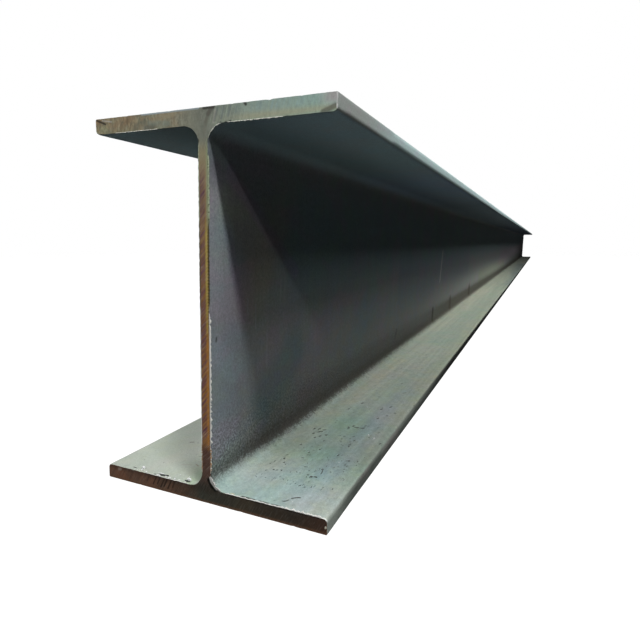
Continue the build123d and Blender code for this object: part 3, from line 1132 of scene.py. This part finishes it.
def lower_face_colour(tree, across, up, toe_to_toe, marks, cloud):
    """The lower flange's cut: rusty brown at the left, dark olive in the middle, dark brown at the right."""
    colour = ramp(tree, toe_to_toe, [
        (0.0, (0.520, 0.272, 0.178)),
        (0.3, (0.446, 0.276, 0.184)),
        (0.40, (0.292, 0.206, 0.150)),
        (0.48, (0.136, 0.160, 0.130)),
        (0.66, (0.162, 0.146, 0.102)),
        (0.85, (0.125, 0.108, 0.084)),
        (1.0, (0.165, 0.098, 0.070)),
    ])
    colour = blend(tree, times(tree, cloud["First"], 0.6), colour, (1.25, 1.0, 0.85), "MULTIPLY")
    darkness = span(tree, across, 20 * MM, -20 * MM, 0.4, 0.7)
    # Painted shade in the saw's grooves, deeper at the left
    colour = blend(tree, times(tree, marks["GrooveShade"], darkness), colour, (0.055, 0.044, 0.036))
    colour = blend(tree, times(tree, marks["Streak"], 0.4), colour, (0.085, 0.062, 0.048))
    upper_left = times(tree, span(tree, up, 7 * MM, 11 * MM, 0.0, 0.5),
                       span(tree, across, 60 * MM, -30 * MM))
    colour = blend(tree, upper_left, colour, (0.110, 0.072, 0.055))
    return blend(tree, span(tree, up, 3.2 * MM, 0.8 * MM, 0.0, 0.6), colour, (0.420, 0.220, 0.120))


def sawn_face():
    """The cut ends: pale bare steel at the top, gold and purple heat tints down the web, rust below."""
    material, tree, shader, where = new_material("sawn_face", roughness=0.5, metallic=0.0, specular=0.3)
    spot = put(tree, "SeparateXYZ", Vector=where)
    across, up = spot.outputs[0], spot.outputs[2]
    marks = use(tree, SAW_STROKES, Vector=where, Step=SAW_STEP)
    cloud = use(tree, PATCHES, Vector=where, Scale=52.0)
    fine_cloud = use(tree, PATCHES, Vector=where, Scale=150.0)
    grain = use(tree, GRAIN, Vector=where, Scale=600.0)["Value"]
    toe_to_toe = span(tree, across, -FLANGE_TIP, FLANGE_TIP, kind="LINEAR")

    # Painted shade, with some dirt, deepens down the cut, and dims each part's clean colours by its own
    # share
    upper_shade, web_shade, lower_shade = 0.96, 0.78, 0.54
    upper = upper_face_colour(tree, where, across, up, toe_to_toe, marks, cloud, fine_cloud)
    upper = lit(tree, upper, upper_shade)
    web = lit(tree, web_face_colour(tree, across, up, marks), web_shade)
    lower = lit(tree, lower_face_colour(tree, across, up, toe_to_toe, marks, cloud), lower_shade)
    colour = blend(tree, span(tree, up, *LOWER_ROOT), lower, web)
    colour = blend(tree, span(tree, up, *UPPER_ROOT), colour, upper)
    colour = lit(tree, colour, uneven(tree, grain, 0.14))
    scratches = times(tree, marks["Scratch"], span(tree, up, 240 * MM, 275 * MM, 0.3, 0.12),
                      span(tree, up, 15 * MM, 40 * MM, 0.35, 1.0))
    colour = blend(tree, scratches, colour, (0.70, 0.66, 0.58))

    rim = put(tree, "Attribute", {"attribute_name": "rim"}).outputs["Fac"]
    edge = span(tree, calc(tree, "MULTIPLY_ADD", grain, 0.9 * MM, rim), 0.55 * MM, 1.4 * MM, 1.0, 0.0)
    low_edge = times(tree, edge, span(tree, up, 20 * MM, 60 * MM, 0.75, 0.0))
    colour = blend(tree, low_edge, colour, (0.460, 0.225, 0.110))
    colour = draw(tree, where, colour, on_near_cut, FACE_STROKES)
    tree.links.new(colour, shader.inputs["Base Color"])
    bump(tree, shader, marks["Height"], strength=0.45, distance=0.2 * MM)
    return material


def torn_steel():
    """The lips left by the saw: bright torn metal, rusty by the lower root, dark and olive high up."""
    material, tree, shader, where = new_material("torn_steel", roughness=0.4, metallic=0.0, specular=0.5)
    up = put(tree, "SeparateXYZ", Vector=where).outputs[2]
    grain = use(tree, GRAIN, Vector=where, Scale=900.0)["Value"]
    colour = ramp(tree, span(tree, up, 0.0, DEPTH, kind="LINEAR"), [
        (0.085, (0.92, 0.91, 0.87)),
        (0.095, (0.62, 0.36, 0.18)),
        (0.155, (0.55, 0.32, 0.16)),
        (0.165, (0.93, 0.92, 0.86)),
        (0.505, (0.92, 0.90, 0.83)),
        (0.53, (0.10, 0.085, 0.035)),
        (0.72, (0.10, 0.085, 0.035)),
        (0.75, (0.50, 0.57, 0.38)),
        (0.90, (0.50, 0.57, 0.38)),
        (0.955, (0.84, 0.85, 0.77)),
    ])
    white_beads = times(tree, span(tree, noise(tree, where, 500.0, detail=2.0), 0.5, 0.56),
                        span(tree, up, 60 * MM, 45 * MM))
    colour = blend(tree, white_beads, colour, (0.92, 0.90, 0.84))
    dark_beads = times(tree, span(tree, noise(tree, where, 900.0, detail=1.0), 0.54, 0.60),
                       span(tree, up, 205 * MM, 214 * MM))
    colour = blend(tree, times(tree, dark_beads, 0.85), colour, (0.07, 0.08, 0.05))
    colour = lit(tree, colour, span(tree, grain, 0.3, 0.7, 0.88, 1.06, "LINEAR"))
    tree.links.new(colour, shader.inputs["Base Color"])
    tree.links.new(span(tree, grain, 0.3, 0.7, 0.3, 0.55, "LINEAR"), shader.inputs["Roughness"])
    bump(tree, shader, grain, strength=0.6, distance=0.15 * MM)
    return material


def chip_steel(name, dark, bright, metallic, roughness):
    """Loose chips and scale: one tint broken up by grain between dark and bright."""
    material, tree, shader, where = new_material(name, roughness, metallic, specular=0.4)
    grain = use(tree, GRAIN, Vector=where, Scale=700.0)["Value"]
    tree.links.new(blend(tree, span(tree, grain, 0.35, 0.65), dark, bright), shader.inputs["Base Color"])
    bump(tree, shader, grain, strength=0.5, distance=0.1 * MM)
    return material


def pale_floor():
    """A very large pale floor that fades into the white surroundings, so that no horizon shows."""
    reach, fade_start, fade_end = 30.0, 1.2, 5.0
    corners = np.array([(-reach, -reach, 0), (reach, -reach, 0), (reach, reach, 0), (-reach, reach, 0)])
    piece = make_mesh("studio_floor", corners, np.array([[0, 1, 2, 3]]), smooth=False)
    material, tree, shader, where = new_material("studio_floor", roughness=0.9, metallic=0.0, specular=0.1)
    shader.inputs["Base Color"].default_value = (0.12, 0.12, 0.12, 1)
    shader.inputs["Emission Color"].default_value = (1, 1, 1, 1)
    shader.inputs["Emission Strength"].default_value = 1.0
    away = put(tree, "VectorMath", {"operation": "LENGTH"}, Vector=stretched(tree, where, (1.0, 0.45, 0.0)))
    fade = span(tree, away.outputs["Value"], fade_start, fade_end, 1.0, 0.0)
    tree.links.new(fade, shader.inputs["Alpha"])
    piece.data.materials.append(material)
    piece.visible_diffuse = False
    piece.visible_glossy = False


def surroundings():
    """White to the eye and nearly dark to the steel, so that the lamps alone model it."""
    on_steel, to_the_eye = 0.009, 1.0
    world = bpy.data.worlds.new("studio")
    world.use_nodes = True
    tree = world.node_tree
    glow = tree.nodes["Background"]
    glow.inputs["Color"].default_value = (1, 1, 1, 1)
    sight = put(tree, "LightPath").outputs["Is Camera Ray"]
    strength = span(tree, sight, 0.0, 1.0, on_steel, to_the_eye, "LINEAR")
    tree.links.new(strength, glow.inputs["Strength"])
    bpy.context.scene.world = world


def aim_camera(thing, heading, pitch, roll, position):
    """Puts the camera at a position, turned left of +Y, tilted up and rolled, all in degrees."""
    heading, pitch, roll = np.radians([heading, pitch, roll])
    reach = math.cos(pitch)
    forward = np.array([-math.sin(heading) * reach, math.cos(heading) * reach, math.sin(pitch)])
    level = np.cross(forward, (0, 0, 1)) / reach
    upward = np.cross(level, forward)
    right = math.cos(roll) * level + math.sin(roll) * upward
    top = math.cos(roll) * upward - math.sin(roll) * level
    columns = np.column_stack([right, top, -forward])
    thing.matrix_world = Matrix.Translation(position) @ Matrix(columns.tolist()).to_4x4()


def panel(name, centre, target, run, length, width, power):
    """A soft rectangular lamp that faces a target, with its long side along the run."""
    lamp = bpy.data.lights.new(name, "AREA")
    lamp.shape = "RECTANGLE"
    lamp.size = length
    lamp.size_y = width
    lamp.energy = power
    thing = bpy.data.objects.new(name, lamp)
    bpy.context.scene.collection.objects.link(thing)
    forward = np.array(target, float) - centre
    forward /= np.linalg.norm(forward)
    along = run - forward * (forward @ run)
    along /= np.linalg.norm(along)
    columns = np.column_stack([along, np.cross(-forward, along), -forward])
    thing.matrix_world = Matrix.Translation(centre) @ Matrix(columns.tolist()).to_4x4()
    thing.visible_camera = False


def lamps():
    """Two strips in front, whose shadow borders cross the web, soft panels at the sides, and floor light."""
    end = -HALF_LENGTH
    across, along = np.array([1.0, 0, 0]), np.array([0, 1.0, 0])
    # Each one's centre, target and run, then its length and width in metres and its power in watts
    panel("high_front", (1.5, end - 1.0, 3.45), (0, end, 0.15), across, 1.2, 0.27, 120)
    panel("far_front", (1.2, end - 3.0, 2.772), (0, end, 0.15), across, 0.6, 0.15, 31)
    panel("low_front", (0.3, end - 1.5, 0.02), (0.3, end - 1.5, 1.0), across, 2.0, 1.4, 17)
    panel("left_side", (-2.0, end + 0.6, 2.6), (-0.05, end + 0.6, 0.2), along, 2.4, 1.5, 60)
    panel("right_middle", (2.048, end + 2.1, 2.571), (0.1, end + 2.1, 0.2), along, 1.8, 0.578, 24)
    panel("floor_near", (1.2, end + 0.75, 0.02), (1.2, end + 0.75, 1.0), along, 1.5, 1.2, 0.9)
    panel("floor_middle", (1.2, end + 2.75, 0.02), (1.2, end + 2.75, 1.0), along, 2.5, 1.2, 1.3)
    panel("floor_far", (1.2, end + 5.75, 0.02), (1.2, end + 5.75, 1.0), along, 3.5, 1.2, 3.5)


def studio():
    """Camera, lamps, floor and surroundings."""
    scene = bpy.context.scene
    scene.view_settings.view_transform = "Standard"
    image_width = 640
    principal_x, principal_y, focal_pixels = 281.7, 316.0, 526.0
    camera = bpy.data.cameras.new("camera")
    camera.sensor_width = 36
    camera.lens = focal_pixels * camera.sensor_width / image_width
    camera.shift_x = 0.5 - principal_x / image_width
    camera.shift_y = principal_y / image_width - 0.5
    camera.clip_start = 0.01
    camera.clip_end = 200
    eye = bpy.data.objects.new("camera", camera)
    scene.collection.objects.link(eye)
    eye_place = (0.2190, -HALF_LENGTH - 0.3191, 0.2040)
    aim_camera(eye, heading=26.04, pitch=-8.39, roll=0.64, position=eye_place)
    scene.camera = eye
    lamps()
    surroundings()
    pale_floor()


def dress(piece, *materials):
    """Gives a piece its finish, and makes it part of the beam."""
    for material in materials:
        piece.data.materials.append(material)
    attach(piece, "root")


def merge(name, pieces):
    """One mesh object from several, which are removed."""
    points, quads, count = [], [], 0
    for piece in pieces:
        mesh = piece.data
        places = np.empty(3 * len(mesh.vertices), np.float32)
        mesh.vertices.foreach_get("co", places)
        corners = np.empty(len(mesh.loops), np.int32)
        mesh.loops.foreach_get("vertex_index", corners)
        points.append(places.reshape(-1, 3))
        quads.append(corners.reshape(-1, 4) + count)
        count += len(mesh.vertices)
        bpy.data.objects.remove(piece)
    return make_mesh(name, np.concatenate(points), np.concatenate(quads))


# The lips along the cut's edge: from, to (across and up in mm), width in mm, then how they differ
LIPS = (
    ((4, 25), (4, 47), 0.7, {"beads": 1.7 * MM}),
    ((4, 47), (4, 149), 0.9, {"lumps": 0.6, "cover": 0.85}),
    ((4, 151), (4, 214), 0.5, {"beads": 2.3 * MM, "cover": 0.95}),
    ((4, 212), (4, 262), 0.8, {"lumps": 0.2}),
    ((6, 273), (15, 281), 0.4, {"cover": 0.5}),
    ((20, 282), (62, 282), 0.5, {"beads": 2.2 * MM, "cover": 0.38}),
    ((-80, 282), (-40, 282), 0.25, {"cover": 0.2}),
    ((-4, 269), (-4, 25), 0.4, {"cover": 0.6}),
    ((-17, 12), (-60, 12), 0.3, {"cover": 0.4}),
    ((97, 12), (60, 12), 0.7, {"cover": 0.85, "lumps": 0.9}),
    ((62, 12), (17, 12), 0.4, {"cover": 0.55, "lumps": 0.9}),
)
ROOT_CURL = ((13, 12.9), (4.4, 22), 0.8, {"curl": 0.5, "lumps": 1.4, "cover": 0.75})

# Dark curls of scale on the right of the lower flange: from and to, across and back from the end in mm
CURLS = (
    ((63.8, 53), (66.0, 57)), ((66.0, 57), (69.3, 57)), ((65, 15), (71.5, 20)),
    ((69, 64), (67.6, 72)), ((29.4, 157), (30.0, 163)), ((34.2, 153), (34.6, 158)),
    ((56.5, 183), (58.0, 187)), ((67, 190), (68.4, 194)), ((70.6, 129), (71.4, 133)),
    ((70, 146), (70.8, 149)), ((28.4, 77), (29.2, 80)), ((31.3, 70), (31.8, 73)),
    ((66.4, 72), (67.3, 75)), ((68.5, 105), (69.4, 109)), ((28, 113), (28.9, 116)),
    ((41.2, 146), (42, 150)), ((44.6, 131), (45.2, 135)), ((48.7, 111), (49.6, 113)),
    ((53, 178), (53.5, 181)), ((42.5, 100), (42.9, 102)), ((31.0, 150), (33.6, 156)),
    ((32.6, 160), (35.4, 163)), ((58.6, 181), (64.2, 183)), ((65.0, 182), (69.6, 185)),
    ((54.2, 174), (55.4, 179)), ((69.0, 133), (70.6, 138)), ((27.2, 145), (28.4, 150)),
    ((24.6, 156), (25.6, 161)), ((33.2, 135), (34.6, 138)), ((67.0, 250), (68.2, 256)),
    ((72.2, 218), (73.4, 223)), ((40.8, 261), (42.8, 266)), ((36.0, 141), (38.0, 144)),
    ((80.2, 99), (81.6, 102)), ((30.2, 53), (31.6, 54.5)), ((36, 56), (37.4, 57.5)),
    ((60.5, 8.5), (64.8, 13)), ((34.2, 233), (35.6, 238)), ((95.2, 148), (96.4, 152)),
    ((74.5, 262), (76.6, 268)),
)
# Chips on the lower flange, most of them left of the web: from, to, width, height, sideways bow and lifted
# tips in mm
BRIGHT_CHIPS = (
    ((-69, 6.5), (-65.5, 5.6), 3.2, 1.6, 0.3, 0.0), ((-67.0, 2.8), (-65.0, 2.6), 1.6, 1.1, 0.0, 0.0),
    ((-51, 1.4), (-45, 1.0), 1.0, 0.6, 0.3, 0.1), ((-38, 1.2), (-35, 1.4), 1.2, 0.8, 0.2, 0.0),
    ((-32.5, 1.5), (-30.5, 1.9), 1.4, 0.9, -0.2, 0.2), ((-28, 1.2), (-25.8, 1.4), 1.2, 0.8, 0.2, 0.0),
    ((-22.6, 5.2), (-17.6, 4.8), 1.8, 2.0, 0.4, 0.4), ((-62.5, 1.7), (-59.5, 1.5), 1.0, 0.6, 0.1, 0.0),
    ((-41, 1.6), (-39.5, 1.4), 1.2, 0.9, 0.1, 0.0), ((78.4, 166), (79.6, 167.5), 1.1, 0.7, 0.0, 0.0),
    ((85.6, 160.5), (86.8, 162), 1.0, 0.6, 0.0, 0.0), ((-51, 4.4), (-44, 4.9), 0.8, 0.5, 0.2, 0.1),
)
DARK_CHIPS = (
    ((-53, 1.5), (-45, 2.6), 0.8, 0.5, -0.3, 0.1), ((-48.5, 2.2), (-39, 4.0), 1.5, 1.0, -0.6, 0.3),
    ((-23.2, 3.4), (-17.2, 3.2), 1.1, 0.9, -0.6, 0.3), ((-77, 4.0), (-72, 3.4), 0.6, 0.3, 0.2, 0.1),
)


def scattered(seed, count, low, high, lengths, widths, heights):
    """Random starts, ends, widths, heights, bows and lifts of slivers that mostly lie along the beam.

    Their distance from the near end is drawn as the square of a random share, so most lie near it.
    """
    rng = np.random.default_rng(seed)
    share = rng.uniform(0, 1, (count, 2)) ** (1, 2)
    middle = low + share * (np.array(high) - low)
    turn = rng.normal(math.pi / 2, 0.5, count)
    run = rng.uniform(*lengths, count)[:, None] / 2 * np.stack([np.cos(turn), np.sin(turn)], axis=1)
    wide, tall = rng.uniform(*widths, count), rng.uniform(*heights, count)
    bow, lift = rng.normal(0, 0.12, count) * wide, rng.uniform(0, 0.3, count) * tall
    return middle - run, middle + run, wide, tall, bow, lift


def in_metres(values):
    """Starts, ends, widths, heights, bows and lifts in metres, from millimetres back from the near end."""
    starts, ends, *sizes = (np.array(value, float) * MM for value in values)
    shift = np.array([0, HALF_LENGTH])
    return starts - shift, ends - shift, *sizes


def loose_pieces(name, seed, *groups):
    """One mesh of all the slivers in groups of arrays in millimetres."""
    joined = [np.concatenate(parts) for parts in zip(*groups)]
    return slivers(name, *in_metres(joined), seed)


def chosen(table):
    """Arrays from rows of (from, to, width, height, bow, lift)."""
    return [np.array(column, float) for column in zip(*table)]


def curls():
    """Arrays for the curls whose places are listed, with sizes drawn at random."""
    starts, ends = (np.array(column, float) for column in zip(*CURLS))
    rng = np.random.default_rng(8)
    count = len(starts)
    widths, heights = rng.uniform(0.6, 1.0, count), rng.uniform(0.3, 0.6, count)
    return [starts, ends, widths, heights, rng.normal(0, 0.7, count), rng.uniform(0.1, 0.5, count)]


def burrs():
    """The lips on both cuts' edges, with the curl of metal in the right root."""
    pieces = []
    for side in (NEAR, FAR):
        for row, (start, end, width, kind) in enumerate((*LIPS, ROOT_CURL)):
            seed = 100 * (side + 2) + 3 * row
            pieces.append(lip(start, end, width, seed, side, **kind))
    return merge("saw_burrs", pieces)


beam = rolled_skin()
dress(beam, mill_scale("mill_scale", flat_web=False), sawn_face(), mill_scale("web_scale", flat_web=True))
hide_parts("h_beam")
dress(burrs(), torn_steel())

# The loose pieces: those listed one by one, then fields of random ones, each with its seed, count, two
# corners and the ranges of length, width and height, all in millimetres
scale_groups = (
    curls(),
    scattered(41, 420, (22, 36), (92, 2500), (0.9, 3.6), (0.3, 0.65), (0.1, 0.2)),
    scattered(42, 40, (-92, 20), (-22, 1500), (0.8, 2.0), (0.3, 0.5), (0.1, 0.2)),
)
swarf_groups = (
    chosen(BRIGHT_CHIPS),
    scattered(43, 9, (22, 10), (92, 1200), (0.8, 1.8), (0.5, 1.0), (0.2, 0.4)),
    scattered(44, 14, (-80, 1), (-20, 12), (0.6, 1.6), (0.4, 0.9), (0.2, 0.5)),
)
dress(loose_pieces("scale_flakes", 51, *scale_groups),
      chip_steel("loose_scale", (0.055, 0.060, 0.056), (0.160, 0.176, 0.164), metallic=0.1, roughness=0.5))
dress(loose_pieces("swarf", 52, *swarf_groups),
      chip_steel("swarf", (0.55, 0.57, 0.57), (0.86, 0.88, 0.88), metallic=0.0, roughness=0.35))
dress(loose_pieces("dark_curls", 53, chosen(DARK_CHIPS)),
      chip_steel("dark_curls", (0.012, 0.014, 0.014), (0.050, 0.056, 0.055), metallic=0.0, roughness=0.45))
studio()
